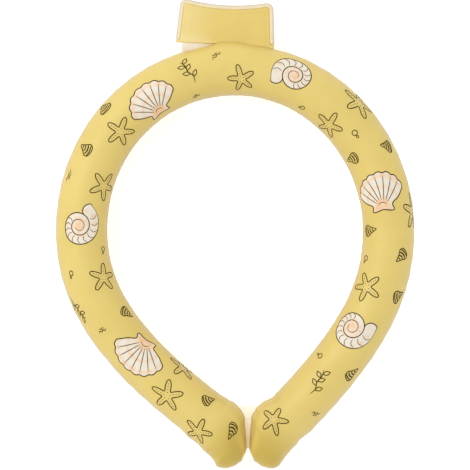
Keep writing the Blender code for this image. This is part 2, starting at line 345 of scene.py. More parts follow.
def middle_line(tube):
    """The tube's middle line in plan, from the left end round the back to the right end."""
    halves = []
    for half in HALVES:
        wide, rise, drop = half.side * tube.half_width, tube.back_rise, tube.end_drop
        end = end_centre(tube, half.side)
        arrival = math.radians(half.arrival_deg)
        heading = Vector((-half.side * math.cos(arrival), -math.sin(arrival)))
        knots = [Vector((0, rise)), Vector((half.across * wide, rise)), Vector((wide, half.rise * rise))]
        knots += [Vector((wide, 0)), Vector((wide, -half.drop * drop)), end - heading * half.end * drop, end]
        points = [knots[0]]
        for span in (knots[:4], knots[3:]):
            drawn = interpolate_bezier(*[knot.to_3d() for knot in span], BEZIER_POINTS)
            points += [point.to_2d() for point in drawn[1:]]
        halves.append(points)
    left, right = halves
    return np.array([tuple(point) for point in left[:0:-1] + right])


def lengths_along(points):
    steps = np.linalg.norm(np.diff(points, axis=0), axis=1)
    return np.concatenate([[0.0], np.cumsum(steps)])


def at_places(places, values, wanted):
    """Straight interpolation of every column of values."""
    return side_by_side(*[np.interp(wanted, places, column) for column in values.T])


def smooth_through(places, values, wanted):
    """Smooth curves through the rows of values, read at the wanted places."""
    gaps = np.diff(places)[:, None]
    slopes = np.diff(values, axis=0) / gaps
    inside = (slopes[:-1] * gaps[1:] + slopes[1:] * gaps[:-1]) / (gaps[:-1] + gaps[1:])
    tangents = np.concatenate([slopes[:1], inside, slopes[-1:]])
    span = np.clip(np.searchsorted(places, wanted, side="right") - 1, 0, len(places) - 2)
    gap = gaps[span]
    u = ((wanted - places[span])[:, None]) / gap
    return (
        values[span] * (2 * u**3 - 3 * u**2 + 1)
        + tangents[span] * gap * (u**3 - 2 * u**2 + u)
        + values[span + 1] * (3 * u**2 - 2 * u**3)
        + tangents[span + 1] * gap * (u**3 - u**2)
    )


def left_of(path):
    """The unit vectors that point to the left of a path, one at each of its points."""
    run = unit_rows(np.gradient(path, axis=0))
    return side_by_side(-run[:, 1], run[:, 0])


def section_controls(tube):
    """Inner point, outer point and height of the sections that the tube is drawn through."""
    line = middle_line(tube)
    reached = lengths_along(line)
    count = round(reached[-1] / SECTION_STEP)
    even = at_places(reached, line, np.linspace(0, reached[-1], count + 1))
    outward = left_of(even)
    radius = tube.diameter / 2
    swell = tube.port_swell * bell(even[:, 0], tube.port_shift, tube.port_reach) * (even[:, 1] > 0)
    inner = even - outward * radius
    outer = even + outward * (radius + swell)[:, None]
    round_ones = np.hstack([inner, outer, np.full((len(even), 1), tube.diameter)])
    closings = {}
    for side in (-1, 1):
        x, y = end_centre(tube, side)
        ways = (-side, -1, -side, -1, 1)
        closings[side] = np.array(CLOSINGS) * ways * tube.diameter + (x, y, x, y, 0)
    controls = np.concatenate([closings[-1][::-1], round_ones, closings[1]])
    # The left leg is widest just where its end begins to close, counted in sections.
    past = np.arange(len(controls)) - len(CLOSINGS) + 0.6
    widening = tube.left_swell * bell(past, 0, np.where(past < 0, 1.6, 2.9))
    controls[:, 2:4] += unit_rows(controls[:, 2:4] - controls[:, 0:2]) * widening[:, None]
    return controls


def soft_waves(seed, along, around, count, shortest, longest):
    """Smooth uneven waves from -1 to 1 over the tube, the same each time for a seed."""
    draw = random.Random(seed)
    total = np.zeros(np.broadcast(along, around).shape)
    for _ in range(count):
        pitch = draw.uniform(shortest, longest)
        turns = draw.randint(0, 3)
        total += np.sin(math.tau * along / pitch + turns * around + draw.uniform(0, math.tau))
    return total / count


def facet_dip(seed, along, shortest, longest):
    """0 at uneven corners along the tube and 1 midway between them."""
    draw = random.Random(seed)
    corners = [0.0]
    while corners[-1] < along[-1]:
        corners.append(corners[-1] + draw.uniform(shortest, longest))
    corners = np.array(corners)
    span = np.searchsorted(corners, along, side="right") - 1
    place = (along - corners[span]) / (corners[span + 1] - corners[span])
    return (4 * place * (1 - place))[:, None]


class TubeSurface:
    """The tube as a grid of points: rows are stations along it, columns are angles round it."""

    def __init__(self, tube):
        controls = section_controls(tube)
        places = lengths_along((controls[:, 0:2] + controls[:, 2:4]) / 2)
        self.length = places[-1]
        self.along = np.linspace(0, self.length, round(self.length / tube.station_step) + 1)
        self.from_end = np.minimum(self.along, self.length - self.along)[:, None]
        upper = QUARTER_ANGLES + [180 - angle for angle in QUARTER_ANGLES[-2::-1]]
        self.angles = np.radians(upper + [360 - angle for angle in upper[-2:0:-1]])
        self.cosine = np.cos(self.angles)[None, :]
        self.radius = tube.diameter / 2
        self.shape(tube, smooth_through(places, controls, self.along))
        low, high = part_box("ring_tube")
        found = (self.points.min(axis=(0, 1)) + self.points.max(axis=(0, 1))) / 2
        self.shift = np.array([(low.x + high.x) / 2 - found[0], (low.y + high.y) / 2 - found[1], 0])
        self.points += self.shift
        self.normals = self.find_normals()

    def shape(self, tube, sections):
        inner, outer = sections[:, 0:2], sections[:, 2:4]
        # The height's curve runs a hair past the full diameter where the closing begins.
        height = np.minimum(sections[:, 4:5], tube.diameter)
        cosine, sine = self.cosine, np.sin(self.angles)[None, :]
        middle, half = (inner + outer) / 2, (outer - inner) / 2
        # Where the tab is welded on, its panel takes the place of the outer seam.
        self.at_tab = (bell(middle[:, 0], tube.port_shift, TAB_REACH) * (outer[:, 1] > 0))[:, None]
        self.seam = bell(sine * height / 2, 0, tube.seam_half_width) * (1 - self.at_tab * (cosine > 0))
        # The underside would hang lower than it may, and the floor presses it flat.
        drop = np.where(sine < 0, 1 + tube.pressed_flat / self.radius, 1)
        softness = 0.00005
        level = self.radius + height / 2 * sine * drop
        level = softness * np.logaddexp(0, level / softness)
        reach = np.linalg.norm(half, axis=1)[:, None]
        across = (reach - tube.seam_height) * cosine + np.sign(cosine) * tube.seam_height * self.seam
        plan = middle[:, None, :] + unit_rows(half)[:, None, :] * across[:, :, None]
        self.points = np.concatenate([plan, level[:, :, None]], axis=2)
        lies = ramp(level, *OFF_THE_FLOOR)
        relief = self.relief(tube, sine, height / tube.diameter)
        self.points += self.find_normals() * (relief * lies * ramp(self.from_end, *RELIEF_RISES))[:, :, None]

    def relief(self, tube, sine, full):
        """How far the film stands out along its normals: waves, facets, puckers and the ends' creases."""
        along, angle, cosine = self.along[:, None], self.angles[None, :], self.cosine
        closing = ramp(self.from_end, *PUCKERED)
        waves = soft_waves(3, along, angle, count=7, shortest=0.013, longest=0.034)
        outer_dip = facet_dip(5, self.along, shortest=0.0065, longest=0.0105) * ramp(cosine, -0.1, 0.8)
        inner_dip = facet_dip(8, self.along, shortest=0.004, longest=0.0065) * ramp(-cosine, -0.1, 0.8)
        facets = tube.facet_depth * (1 + 1.3 * closing) * (outer_dip + 0.6 * inner_dip)
        bent = 2.2 * soft_waves(9, along, angle, count=3, shortest=0.02, longest=0.05)
        pucker = np.sin(math.tau * self.from_end / PUCKER_PITCH + bent)
        pucker = pucker * bell(sine, 0, 0.42) * (1 - 0.7 * self.seam)
        from_gap_side = np.abs(np.degrees(angle) - 180)
        self.crease = bell(from_gap_side, CREASE_ANGLE, CREASE_WIDTH) * closing * ramp(full, 0, 0.5)
        return (
            tube.unevenness * waves
            - facets
            + tube.pucker * closing * pucker
            - tube.crease_depth * self.crease
        )

    def find_normals(self):
        along = np.gradient(self.points, axis=0)
        around = np.roll(self.points, -1, axis=1) - np.roll(self.points, 1, axis=1)
        return unit_rows(np.cross(around, along))

    def at(self, places, lift):
        """Points on the surface. places has metres along, and metres round from the crest outwards."""
        row = np.interp(places[:, 0], self.along, np.arange(len(self.along)))
        turn = (math.pi / 2 - places[:, 1] / self.radius) % math.tau
        closed = np.append(self.angles, math.tau)
        column = np.interp(turn, closed, np.arange(len(closed)))
        i = np.clip(row.astype(int), 0, len(self.along) - 2)
        j = np.clip(column.astype(int), 0, len(self.angles) - 1)
        after = (j + 1) % len(self.angles)
        u, v = (row - i)[:, None], (column - j)[:, None]

        def mixed(grid):
            first = grid[i, j] * (1 - v) + grid[i, after] * v
            second = grid[i + 1, j] * (1 - v) + grid[i + 1, after] * v
            return first * (1 - u) + second * u

        return mixed(self.points) + mixed(self.normals) * lift


@functools.cache
def tube_surface():
    """The tube's surface, worked out once and kept for the pieces that lie on it."""
    return TubeSurface(bpy.context.scene.ring_tube)


# Making meshes and objects


def new_piece(name, points, faces, material, smooth=True):
    data = bpy.data.meshes.new(name)
    data.from_pydata([tuple(point) for point in points], [], faces)
    data.validate()
    data.update()
    if smooth:
        data.shade_smooth()
    data.materials.append(material)
    piece = bpy.data.objects.new(name, data)
    bpy.context.scene.collection.objects.link(piece)
    return piece


def set_values(piece, **wanted):
    """Stores a share at each point of the mesh, for its material to read. A shorter list is repeated."""
    count = len(piece.data.vertices)
    for name, values in wanted.items():
        layer = piece.data.attributes.new(name, "FLOAT", "POINT")
        layer.data.foreach_set("value", np.resize(np.clip(values, 0, 1), count).astype(np.float32))


def put_on_root(piece, slot=None, node=None):
    """Lets the piece ride on the one body and, if a slot is given, hides the CAD node that it stands for."""
    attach(piece, "root")
    if slot:
        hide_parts(node)


def inside(outline, points):
    """True for the points that lie inside a closed outline."""
    x, y = points[:, 0][:, None], points[:, 1][:, None]
    ax, ay = outline[:, 0][None, :], outline[:, 1][None, :]
    bx, by = np.roll(ax, -1), np.roll(ay, -1)
    crosses = (ay > y) != (by > y)
    level = np.where(by == ay, TINY, by - ay)
    return (np.sum(crosses & (x < (bx - ax) * (y - ay) / level + ax), axis=1) % 2).astype(bool)


def distance_to(outline, points):
    """Distance from each point to the nearest side of a closed outline."""
    best = np.full(len(points), np.inf)
    for a, b in zip(outline, np.roll(outline, -1, axis=0)):
        run = b - a
        place = np.clip((points - a) @ run / max(run @ run, TINY**2), 0, 1)
        best = np.minimum(best, np.linalg.norm(points - a - place[:, None] * run, axis=1))
    return best


def evenly(points, step, closed=False):
    """The same line, with its points at even steps no longer than step."""
    if closed:
        points = np.vstack([points, points[:1]])
    reached = lengths_along(points)
    count = max(2, math.ceil(reached[-1] / step))
    even = at_places(reached, points, np.linspace(0, reached[-1], count + 1))
    return even[:-1] if closed else even


def filled(outline, step):
    """Points and triangles that fill a closed outline on an even grid."""
    low, high = outline.min(axis=0), outline.max(axis=0)
    columns = np.arange(low[0] + step / 2, high[0], step)
    levels = np.arange(low[1] + step / 2, high[1], step)
    grid = [(x + (k % 2) * step / 2, y) for k, y in enumerate(levels) for x in columns]
    grid = np.array(grid).reshape(-1, 2)
    grid = grid[inside(outline, grid)]
    grid = grid[distance_to(outline, grid) > step * CLEAR_OF_EDGE]
    points = [Vector(point) for point in np.vstack([outline, grid])]
    made = delaunay_2d_cdt(points, [], [list(range(len(outline)))], 1, 1e-7)
    return np.array([tuple(point) for point in made[0]]), [tuple(face) for face in made[2]]


def closed_sheet(faces, count):
    """Faces of a thin closed sheet: points 0 to count lie on top, the next count below them."""
    below = [tuple(count + k for k in reversed(face)) for face in faces]
    sides = dict.fromkeys(side for face in faces for side in zip(face, face[1:] + face[:1]))
    walls = [(b, a, count + a, count + b) for a, b in sides if (b, a) not in sides]
    return [*faces, *below, *walls]


def sheet(outline, step, middle, half):
    """A closed sheet over an outline, with its flat points and their distances from the edge.

    middle gives the sheet's level at flat points, and half gives half its thickness there.
    """
    flat, triangles = filled(outline, step)
    away = distance_to(outline, flat)
    levels = (middle(flat) + half(flat, away), middle(flat) - half(flat, away))
    points = np.vstack([np.column_stack([flat, level]) for level in levels])
    return points, closed_sheet(triangles, len(flat)), flat, away


def faces_between(first, second, closed=True):
    """Faces that join two rows of point numbers, which are rings if closed."""
    made = list(zip(first, first[1:] + first[:1], second[1:] + second[:1], second))
    return made if closed else made[:-1]


def polar(middle, reach, angle):
    return side_by_side(middle[0] + reach * np.cos(angle), middle[1] + reach * np.sin(angle))


def bowed(shares, half, level, dip):
    """A shallow bow: at this level at the shares -1 and 1, and lower by dip at 0."""
    return side_by_side(shares * half, level - dip * (1 - shares**2))


# Materials


def feed(tree, socket, value):
    """Links the socket to an output, or gives it this number, colour or vector."""
    if isinstance(value, bpy.types.NodeSocket):
        tree.links.new(value, socket)
    elif hasattr(value, "__len__"):
        socket.default_value = (*value[:3], 1)[: len(socket.default_value)]
    else:
        socket.default_value = value


def new_group(name, inputs, outputs):
    """An empty shader node group, whose sockets are numbers or colours as their values are."""
    tree = bpy.data.node_groups.new(name, "ShaderNodeTree")
    for direction, wanted in (("INPUT", inputs), ("OUTPUT", outputs)):
        for label, value in wanted.items():
            kind = "NodeSocketColor" if hasattr(value, "__len__") else "NodeSocketFloat"
            socket = tree.interface.new_socket(label, in_out=direction, socket_type=kind)
            socket.default_value = value
    return tree, tree.nodes.new("NodeGroupInput").outputs, tree.nodes.new("NodeGroupOutput").inputs


def math_node(tree, operation, first, second):
    node = tree.nodes.new("ShaderNodeMath")
    node.operation = operation
    feed(tree, node.inputs[0], first)
    feed(tree, node.inputs[1], second)
    return node.outputs[0]


def noise(tree, scale, detail=2.0, roughness=0.5):
    """Noise over the object's own coordinates. The scale is a number or a socket."""
    place = tree.nodes.new("ShaderNodeTexCoord").outputs["Object"]
    node = tree.nodes.new("ShaderNodeTexNoise")
    wanted = {"Vector": place, "Scale": scale, "Detail": detail, "Roughness": roughness}
    for label, value in wanted.items():
        feed(tree, node.inputs[label], value)
    return node.outputs["Fac"]


def remap(tree, value, low, high, to_low=0.0, to_high=1.0):
    node = tree.nodes.new("ShaderNodeMapRange")
    node.interpolation_type = "SMOOTHSTEP"
    for socket, wanted in zip(node.inputs, (value, low, high, to_low, to_high)):
        feed(tree, socket, wanted)
    return node.outputs[0]


def mix_color(tree, amount, first, second):
    node = tree.nodes.new("ShaderNodeMix")
    node.data_type = "RGBA"
    for index, value in ((0, amount), (6, first), (7, second)):
        feed(tree, node.inputs[index], value)
    return node.outputs[2]


def point_value(tree, name):
    node = tree.nodes.new("ShaderNodeAttribute")
    node.attribute_name = name
    return node.outputs["Fac"]


def layered(tree, base, **colors):
    """The base, covered in turn by each colour as far as the point value of its name says."""
    for name, tint in colors.items():
        base = mix_color(tree, point_value(tree, name), base, tint)
    return base


def place_group(tree, group, **values):
    node = tree.nodes.new("ShaderNodeGroup")
    node.node_tree = group
    for label, value in values.items():
        feed(tree, node.inputs[label.replace("_", " ").title()], value)
    return node.outputs


def film_grain_group():
    """Fine grain of a soft plastic film: a height for bump and a roughness."""
    name = "film_grain"
    if name in bpy.data.node_groups:
        return bpy.data.node_groups[name]
    inputs = {"Grain Scale": 2600.0, "Roughness": 0.42, "Roughness Spread": 0.08}
    tree, given, out = new_group(name, inputs, {"Height": 0.0, "Roughness": 0.0})
    fine = noise(tree, given["Grain Scale"], 3.0, 0.6)
    broad = noise(tree, math_node(tree, "MULTIPLY", given["Grain Scale"], 0.09))
    fine_share, broad_share = math_node(tree, "MULTIPLY", fine, 0.4), math_node(tree, "MULTIPLY", broad, 0.6)
    feed(tree, out["Height"], math_node(tree, "ADD", fine_share, broad_share))
    centred = math_node(tree, "SUBTRACT", broad, 0.5)
    spread = math_node(tree, "MULTIPLY", centred, given["Roughness Spread"])
    feed(tree, out["Roughness"], math_node(tree, "ADD", given["Roughness"], spread))
    return tree


def soft_tint_group():
    """Soft patches between two colours, as in dyed film."""
    name = "soft_tint"
    if name in bpy.data.node_groups:
        return bpy.data.node_groups[name]
    colors = {"Color": (0.8, 0.6, 0.2, 1), "Patch Color": (0.7, 0.5, 0.15, 1)}
    inputs = {**colors, "Patch Scale": 60.0, "Amount": 0.3}
    tree, given, out = new_group(name, inputs, {"Color": (0.8, 0.6, 0.2, 1)})
    patches = remap(tree, noise(tree, given["Patch Scale"], 3.0, 0.55), 0.3, 0.75)
    amount = math_node(tree, "MULTIPLY", patches, given["Amount"])
    feed(tree, out["Color"], mix_color(tree, amount, given["Color"], given["Patch Color"]))
    return tree


def new_shader(name, values):
    """A new material, its node tree and its shader, whose sockets have these values."""
    material = bpy.data.materials.new(name)
    material.use_nodes = True
    tree, shader = material.node_tree, material.node_tree.nodes["Principled BSDF"]
    for label, value in values.items():
        feed(tree, shader.inputs[label], value)
    return material, tree, shader.inputs


def add_grain(tree, sockets, scale, roughness, depth):
    """Drives the shader's roughness and normal from the film grain."""
    values = {"grain_scale": scale, "roughness": roughness, "roughness_spread": 0.10}
    grain = place_group(tree, film_grain_group(), **values)
    bump = tree.nodes.new("ShaderNodeBump")
    for label, value in {"Strength": 0.5, "Distance": depth, "Height": grain["Height"]}.items():
        feed(tree, bump.inputs[label], value)
    feed(tree, sockets["Roughness"], grain["Roughness"])
    feed(tree, sockets["Normal"], bump.outputs["Normal"])


def yellow_film(film):
    """Satin yellow film, greyer on its weld seams, with painted shade at its sides, in its creases and
    towards its tips, and painted light where light passes up through it.
    """
    name = "satin_yellow_film"
    if name in bpy.data.materials:
        return bpy.data.materials[name]
    values = {
        "Coat Weight": film.coat,
        "Coat Roughness": 0.35,
        "Specular IOR Level": 0.38,
        "Subsurface Weight": 0.12,
        "Subsurface Radius": (0.0030, 0.0020, 0.0007),
        "Subsurface Scale": 1.0,
    }
    material, tree, sockets = new_shader(name, values)
    patches = {"patch_color": film.patch_and_shade_color, "patch_scale": 70.0, "amount": 0.22}
    tint = place_group(tree, soft_tint_group(), color=film.film_color, **patches)["Color"]
    # Painted shade in the deep and tip colours and painted light in the pale one, as far as the point values
    # say; the seam colour marks the weld seams and also carries a band of painted shade beside them
    under = layered(tree, tint, deep=film.patch_and_shade_color, seam=film.seam_color, tip=film.tip_shade_color)
    feed(tree, sockets["Base Color"], layered(tree, under, pale=film.painted_light_color))
    add_grain(tree, sockets, 2600.0, film.roughness, 0.00004)
    return material


def clear_film(name, clear, body, opacity, painted_glow=0.0):
    """Clear film, warmer close to the yellow film with painted reflected yellow light and painted shade, and
    with darker lines of painted edge shade where the point values say.
    """
    # A glow given here is painted light, standing in for light passed on from below.
    values = {"IOR": 1.5, "Emission Color": clear.glow_color, "Emission Strength": painted_glow}
    material, tree, sockets = new_shader(name, values)
    patches = {"patch_color": clear.patch_reflection_and_shade_color, "patch_scale": 160.0, "amount": 0.10}
    tint = place_group(tree, soft_tint_group(), color=body, **patches)["Color"]
    colored = layered(tree, tint, warm=clear.patch_reflection_and_shade_color, line=clear.line_color)
    feed(tree, sockets["Base Color"], colored)
    cloudy = remap(tree, noise(tree, 240.0), 0.3, 0.7, opacity - 0.05, opacity + 0.05)
    # The painted reflected light and shade and the painted edge lines also make the film less see-through.
    pressed = math_node(tree, "MAXIMUM", point_value(tree, "warm"), point_value(tree, "line"))
    held = math_node(tree, "ADD", cloudy, math_node(tree, "MULTIPLY", pressed, 0.42))
    feed(tree, sockets["Alpha"], held)
    add_grain(tree, sockets, 1800.0, clear.roughness, 0.00003)
    return material


def print_wash(printed):
    """Cream print with a peach wash that has soft uneven edges."""
    material, tree, sockets = new_shader("print_wash", {})
    uneven = math_node(tree, "MULTIPLY", math_node(tree, "SUBTRACT", noise(tree, 420.0, 3.0), 0.5), 0.7)
    amount = remap(tree, math_node(tree, "ADD", point_value(tree, "wash"), uneven), 0.05, 0.95)
    washed = mix_color(tree, amount, printed.cream_color, printed.peach_color)
    feed(tree, sockets["Base Color"], washed)
    add_grain(tree, sockets, 2600.0, 0.46, 0.00003)
    return material


def print_ink(printed):
    """Dark brown ink whose density varies a little along its lines."""
    material, tree, sockets = new_shader("print_ink", {"Specular IOR Level": 0.05})
    thin = remap(tree, noise(tree, 700.0), 0.35, 0.75, 0.0, 0.25)
    lighter = [1.8 * part for part in printed.ink_color]
    feed(tree, sockets["Base Color"], mix_color(tree, thin, printed.ink_color, lighter))
    add_grain(tree, sockets, 2600.0, 0.5, 0.00002)
    return material


# The tube


def tube_mesh(surface):
    """Points, faces and bake coordinates of the whole tube with its two rounded tips."""
    stations, columns = surface.points.shape[:2]
    rows = np.arange(stations * columns).reshape(stations, columns).tolist()
    strips = BAKE_COLUMNS * BAKE_ROWS
    points, faces, unwrapped = list(surface.points.reshape(-1, 3)), [], []

    def bake_place(i, k, strip):
        along = surface.along[i] / surface.length * strips - strip
        x = (strip % BAKE_COLUMNS + BAKE_EDGE + along * (1 - 2 * BAKE_EDGE)) / BAKE_COLUMNS
        y = (strip // BAKE_COLUMNS + BAKE_EDGE + k / columns * (1 - 2 * BAKE_EDGE)) / BAKE_ROWS
        return x, y

    for i in range(stations - 1):
        strip = int(i / (stations - 1) * strips)
        faces += faces_between(rows[i], rows[i + 1])
        for k in range(columns):
            corners = ((i, k), (i, k + 1), (i + 1, k + 1), (i + 1, k))
            unwrapped += [bake_place(*corner, strip) for corner in corners]
    for last, inward, strip in ((0, 2, 0), (stations - 1, stations - 3, strips - 1)):
        ring = surface.points[last]
        centre = ring.mean(axis=0)
        push = unit_rows(centre - surface.points[inward].mean(axis=0))
        before, tip_faces = rows[last], []
        for reach, size in TIP_RINGS:
            now = list(range(len(points), len(points) + columns))
            points += list(centre + (ring - centre) * size + push * reach)
            tip_faces += faces_between(before, now)
            before = now
        tip_faces += [(a, b, len(points)) for a, b in zip(before, before[1:] + before[:1])]
        points.append(centre + push * TIP_POINT_PUSH)
        faces += tip_faces if last else [face[::-1] for face in tip_faces]
        unwrapped += [bake_place(last, 0, strip)] * sum(len(face) for face in tip_faces)
    return points, faces, unwrapped


class NECKRING_OT_film_tube(bpy.types.Operator):
    """Builds the filled yellow film tube with its weld seams and two closed ends"""

    bl_idname = "neckring.film_tube"
    bl_label = "Film tube"

    def execute(self, context):
        surface = tube_surface()
        points, faces, unwrapped = tube_mesh(surface)
        piece = new_piece("film_tube", points, faces, yellow_film(context.scene.ring_film))
        layer = piece.data.uv_layers.new(name="OFBake")
        layer.data.foreach_set("uv", np.array(unwrapped, np.float32).ravel())
        cosine, from_end = surface.cosine, surface.from_end
        welded = surface.at_tab * (cosine > 0)
        # The closed ends are deeper towards their tips, except where they face each other.
        # Painted shade: the film is darkened at the tube's sides, in the ends' creases and towards the closed
        # tips, less where the ends face each other.
        facing = ramp(-cosine, 0.05, 0.75) * ramp(from_end, *ENDS_FACE)
        gathered = ramp(from_end, *TIP_SHADE) * (1 - facing)
        # Painted shade at the tube's sides, lessened where the tab is welded on.
        turned = np.minimum(0.85 * np.abs(cosine) ** 5, 0.62) * (1 - 0.6 * welded)
        deep = turned * (1 - 0.85 * facing) + 0.25 * surface.crease + gathered
        seam = surface.seam * (0.75 + 0.2 * ramp(from_end, *SEAM_DARKENS))
        # Painted shade in the seam colour, in a narrow band along the tube's sides beside the weld seams.
        seam_edge_shade = 0.32 * np.abs(cosine) ** 14 * (1 - welded)
        # The tips' caps take painted shade too.
        at_tips = np.ones(len(points) - seam.size)
        set_values(
            piece,
            deep=np.append(deep, 0.4 * at_tips),
            seam=np.append(np.maximum(seam, seam_edge_shade), 0.3 * at_tips),
            pale=0,
            tip=np.append(0.75 * gathered, 0.5 * at_tips),
        )
        put_on_root(piece, "yellow_film", "ring_tube")
        return {"FINISHED"}


# The tab


def tab_upper_edge(tab, inset, corner_steps=10, top_steps=40):
    """The tab's left corner, top and right corner as one path, moved in by inset."""
    corner = tab.panel_corner + tab.rim_width
    centre_x, centre_y = tab.top_width / 2 - corner, tab.height - corner
    lean = math.atan2(tab.foot_width - tab.top_width, 2 * tab.height)
    # The top edge is a shallow hollow whose ends run smoothly into the corners.
    rise = math.atan2(2 * tab.top_dip, centre_x)
    angles = np.linspace(math.pi - lean, math.pi / 2 - rise, corner_steps + 1)
    left = polar((-centre_x, centre_y), corner - inset, angles)
    right = left[::-1] * (-1, 1)
    top = bowed(np.linspace(-1, 1, top_steps + 1)[1:-1], *right[0], tab.top_dip)
    return np.vstack([left, top, right])


def tab_side(tab, inset, level):
    """Half the tab's width at this height over its foot line, moved in by inset."""
    lean = (tab.foot_width - tab.top_width) / 2 / tab.height
    return tab.foot_width / 2 - lean * level - inset


def tab_place(context, points):
    """Points drawn on the tab's foot line, set in place at the back of the ring."""
    tube, tab = context.scene.ring_tube, context.scene.ring_tab
    tilt = -math.radians(tab.tilt_deg)
    foot = tube.back_rise + tube.diameter / 2 - tab.sinks_in
    x, y, z = points.T
    along = x * math.cos(tilt) - y * math.sin(tilt) + tab.side_shift
    up = x * math.sin(tilt) + y * math.cos(tilt) + foot
    return side_by_side(along, up, z + tube.diameter / 2) + tube_surface().shift


def panel_outline(tube, tab):
    """The yellow panel. Its foot is free left of the port, and runs under the tube's side right of it."""
    inset, band, root = tab.rim_width, tab.foot_band, -tab.root_depth
    side, edge, foot = tab_side(tab, inset, band), tab_side(tab, 0, band), tab_side(tab, 0, 0)
    port = tube.port_shift - tab.side_shift
    right_foot = [(side, band), (edge, band), (foot, 0), (foot, root)]
    left_foot = [(port, root), (port - tab.root_slant, 0), (-foot, 0), (-edge, band), (-side, band)]
    return evenly(np.vstack([tab_upper_edge(tab, inset), right_foot, left_foot]), OUTLINE_STEP, closed=True)


class NECKRING_OT_tab_panel(bpy.types.Operator):
    """Builds the yellow panel of the tab with its rounded edge and pressed weld band"""

    bl_idname = "neckring.tab_panel"
    bl_label = "Tab panel"

    def execute(self, context):
        tube, tab = context.scene.ring_tube, context.scene.ring_tab
        surface = tube_surface()
        tube_side = surface.points[surface.at_tab[:, 0] > 0.01, 0, :2]

        def weld_rise(flat):
            """The panel's soft rise to where it is welded to the tube."""
            placed = tab_place(context, np.column_stack([flat, np.zeros(len(flat))]))[:, :2]
            nearest = np.linalg.norm(placed[:, None, :] - tube_side[None, :, :], axis=2).min(axis=1)
            return tab.weld_rise * np.square(np.clip(1 - nearest / tab.weld_reach, 0, 1))

        def half(flat, away):
            edge = np.sqrt(np.clip(1 - np.square(1 - np.clip(away / PANEL_ROUNDING, 0, 1)), 0.03, 1))
            raised = ramp(away, tab.weld_band, tab.weld_band + WELD_BAND_STEP)
            waves = soft_waves(21, flat[:, 0], flat[:, 1] * 300, count=5, shortest=0.012, longest=0.03)
            ribs = np.sin(math.tau * away / RIB_PITCH) * (1 - raised) * ramp(away, 0, RIBS_START)
            level = tab.thickness / 2 - tab.weld_depth * (1 - raised) + weld_rise(flat)
            return edge * level + PANEL_WAVE * waves * raised + RIB_HEIGHT * ribs

        outline = panel_outline(tube, tab)
        points, faces, flat, away = sheet(outline, PANEL_STEP, lambda flat: 0, half)
        film = yellow_film(context.scene.ring_film)
        piece = new_piece("tab_panel", tab_place(context, points), faces, film)
        # The panel's left side, and above all its free foot, has nothing behind it, and is painted paler
        # there: painted light from below.
        left = flat[:, 0] + tab.foot_width / 2
        free_foot = ramp(left, *FREE_FOOT_PALE) * ramp(flat[:, 1], *FREE_FOOT_LEVEL)
        set_values(
            piece,
            # A little deeper in colour all over, with painted shade along the pressed band's step and at the
            # rounded edge.
            deep=0.08 + 0.16 * bell(away, tab.weld_band, 0.0005) + 0.2 * bell(away, 0, 0.0003),
            seam=0.1 * bell(away, 0, 0.0002),
            pale=0.6 * ramp(left, *LEFT_PALE) + 0.5 * free_foot,
            tip=0,
        )
        put_on_root(piece, "yellow_film", "back_tab")
        return {"FINISHED"}


def swept_rim(path, width, thickness, sides=16):
    """A flat rounded band along a path, its outer side thinner, with closed ends."""
    angles = math.tau * np.arange(sides) / sides
    cosine, sine = np.cos(angles), np.sin(angles)
    across = np.sign(cosine) * np.abs(cosine) ** 0.75
    level = np.sign(sine) * np.abs(sine) ** 0.85 * thickness / 2 * (1 - 0.25 * cosine)
    plan = path[:, None, :] + left_of(path)[:, None, :] * (across * width / 2)[None, :, None]
    points = np.dstack([plan, np.tile(level, (len(path), 1))]).reshape(-1, 3)
    rings = np.arange(len(points)).reshape(-1, sides).tolist()
    faces = [face for pair in zip(rings, rings[1:]) for face in faces_between(*pair)]
    return points, [*faces, rings[0][::-1], rings[-1]], np.tile(across, len(path))


def film_half(thickness, away):
    """Half the thickness of a clear film at this distance from its blunt edge."""
    return thickness / 2 * np.sqrt(np.clip(away / FILM_ROUNDING, 0.04, 1))


class NECKRING_OT_tab_clear_films(bpy.types.Operator):
    """Builds the clear rim round the tab and the clear strip under its free foot"""

    bl_idname = "neckring.tab_clear_films"
    bl_label = "Tab clear films"

    def execute(self, context):
        tube, tab, clear = context.scene.ring_tube, context.scene.ring_tab, context.scene.ring_clear
        foot, middle = tab.foot_band + tab.rim_gap, tab.rim_width / 2
        side = tab_side(tab, middle, foot)
        path = evenly(np.vstack([(-side, foot), tab_upper_edge(tab, middle), (side, foot)]), OUTLINE_STEP)
        points, faces, across = swept_rim(path, tab.rim_width + tab.rim_overlap, tab.rim_thickness)
        material = clear_film("clear_rim", clear, clear.rim_color, clear.rim_opacity)
        rim = new_piece("tab_clear_rim", tab_place(context, points), faces, material)
        # Painted shade: a dark line along the rim's outer side and a faint one along its inner side; painted
        # reflected yellow light grows towards the panel.
        lines = 0.9 * bell(across, 0.95, 0.36) + 0.1 * bell(across, -1, 0.2)
        set_values(rim, line=lines, warm=0.15 + 0.4 * ramp(across, 1, -1))
        put_on_root(rim, "clear_film", "tab_clear_edge")

        left = tab.strip_inset - tab.foot_width / 2
        right = tube.port_shift - tab.side_shift + tab.strip_past_port
        top, depth = STRIP_TOP, tube.diameter / 4
        corners = np.array([(left, top), (left, -depth), (right, -depth), (right, top)])
        points, faces, flat, _ = sheet(
            evenly(corners, OUTLINE_STEP, closed=True),
            STRIP_STEP,
            middle=lambda flat: STRIP_SLOPE * flat[:, 1] - STRIP_DROP,
            half=lambda flat, away: film_half(tab.film_thickness, away),
        )
        material = clear_film("clear_sheet", clear, clear.clear_color, clear.opacity)
        strip = new_piece("tab_clear_strip_film", tab_place(context, points), faces, material)
        # Painted reflected yellow light, stronger towards the port and towards the tube.
        set_values(strip, warm=0.55 * ramp(flat[:, 0], left, right) + 0.35 * ramp(flat[:, 1], *STRIP_WARMS))
        put_on_root(strip, "clear_film", "tab_clear_strip")
        return {"FINISHED"}


